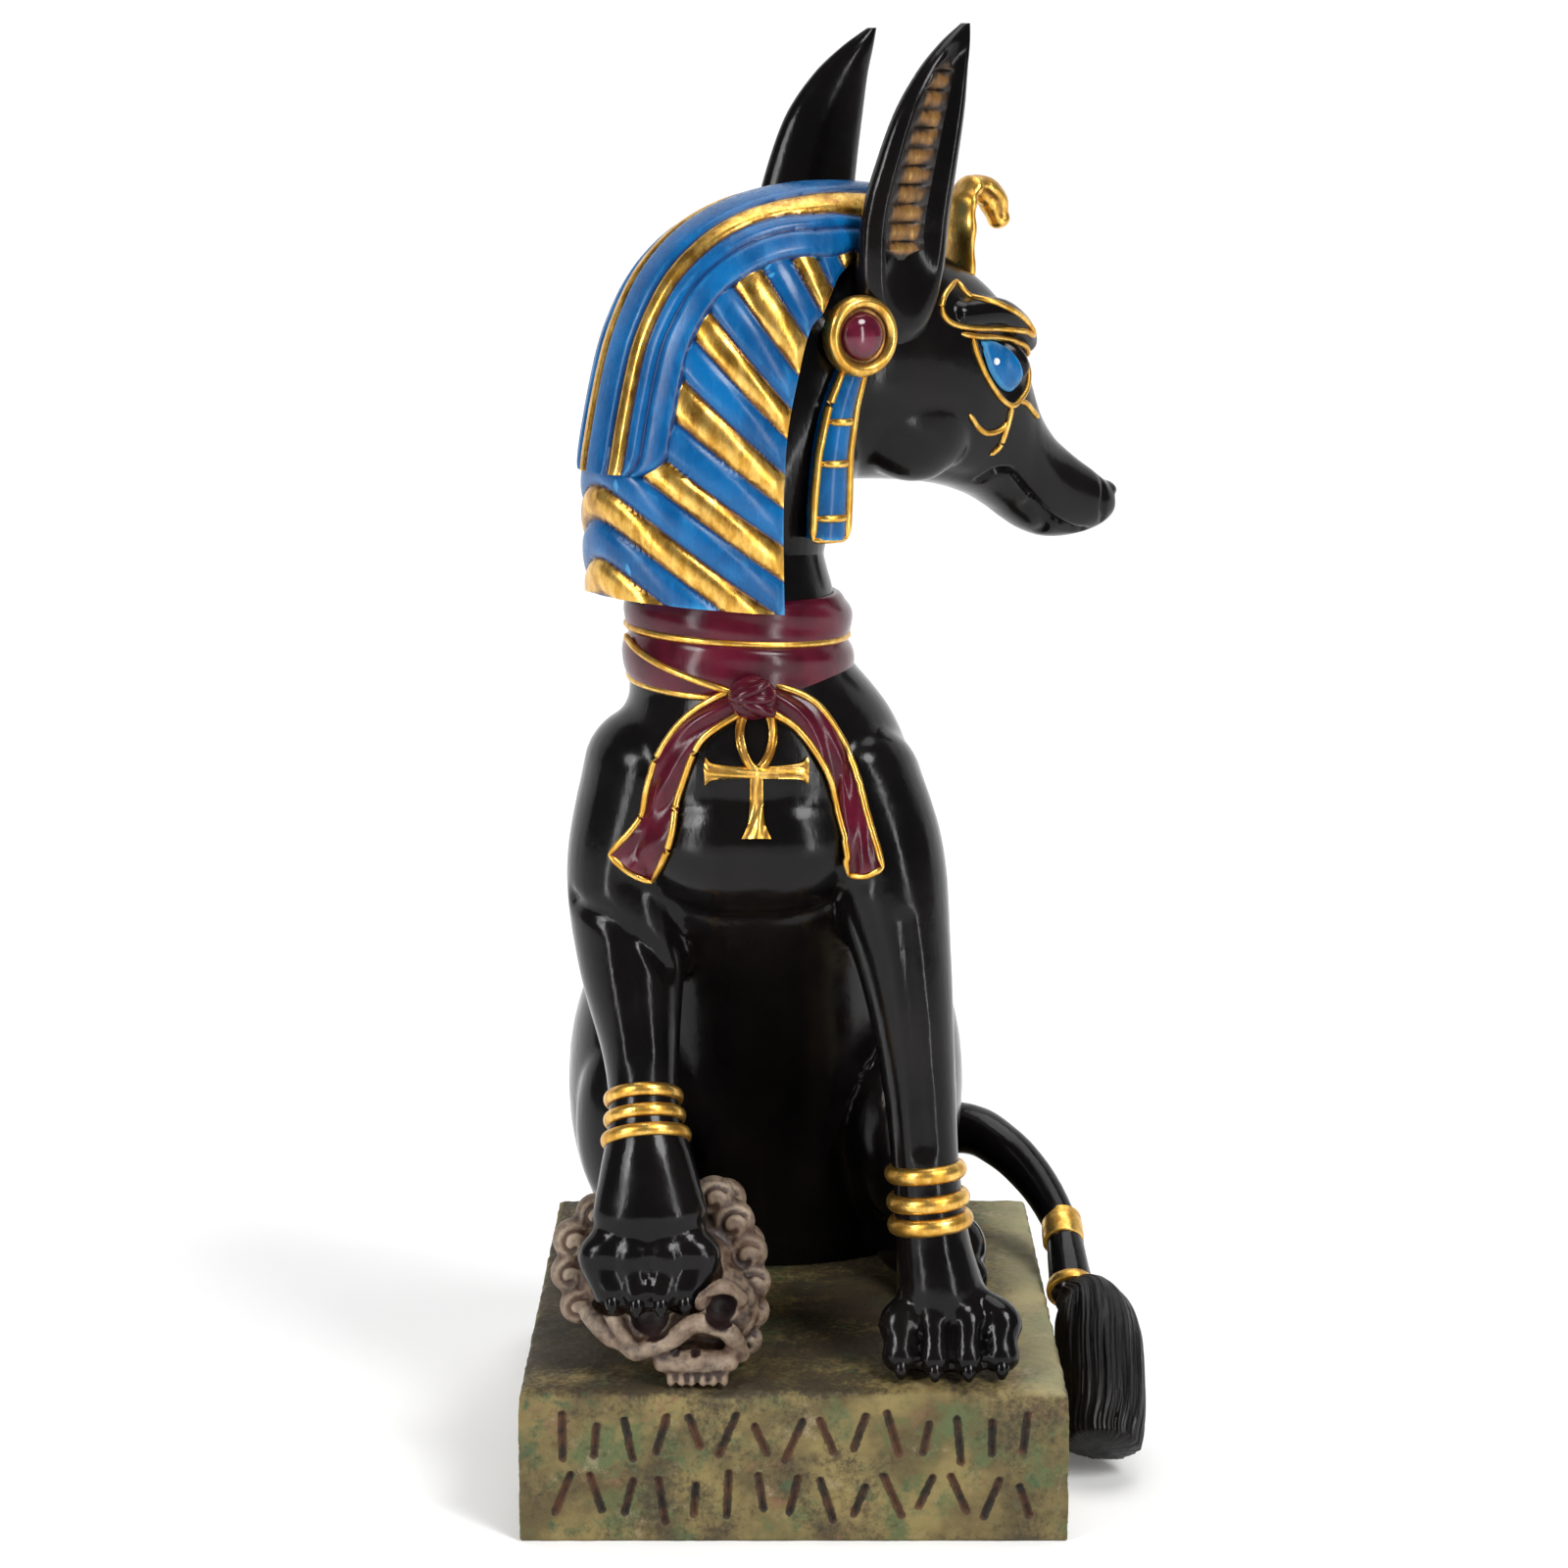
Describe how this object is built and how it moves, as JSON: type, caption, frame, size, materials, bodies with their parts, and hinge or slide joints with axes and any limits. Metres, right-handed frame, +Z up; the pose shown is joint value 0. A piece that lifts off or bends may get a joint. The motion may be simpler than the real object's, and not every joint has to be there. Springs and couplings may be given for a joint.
{
  "type": "anubis figurine",
  "caption": "Seated jackal figurine in a striped headdress, scarf and rings, one paw on a skull, its tail hanging beside a stone-look plinth.",
  "frame": {"origin": "middle of the plinth's underside, on the surface that the figurine stands on", "axes": "+Z up; the front, with the forepaws and the carved marks, faces -Y; +X is to the viewer's right, the side the tail hangs on"},
  "size_m": [0.1298, 0.1294, 0.2994],
  "materials": {
    "black_gloss_resin": "hand-painted gloss black cast resin",
    "bone_resin": "bone paint with a brown wash",
    "stone_resin": "stone-look paint with green and brown patches",
    "gold_paint": "gold metallic paint, rubbed with brown in its hollows",
    "blue_paint": "hand-brushed bright blue paint, satin gloss",
    "burgundy_paint": "burgundy gloss paint"
  },
  "bodies": {
    "root": {"jackal": "black_gloss_resin", "skull": "bone_resin", "plinth": "stone_resin"}
  },
  "joints": []
}
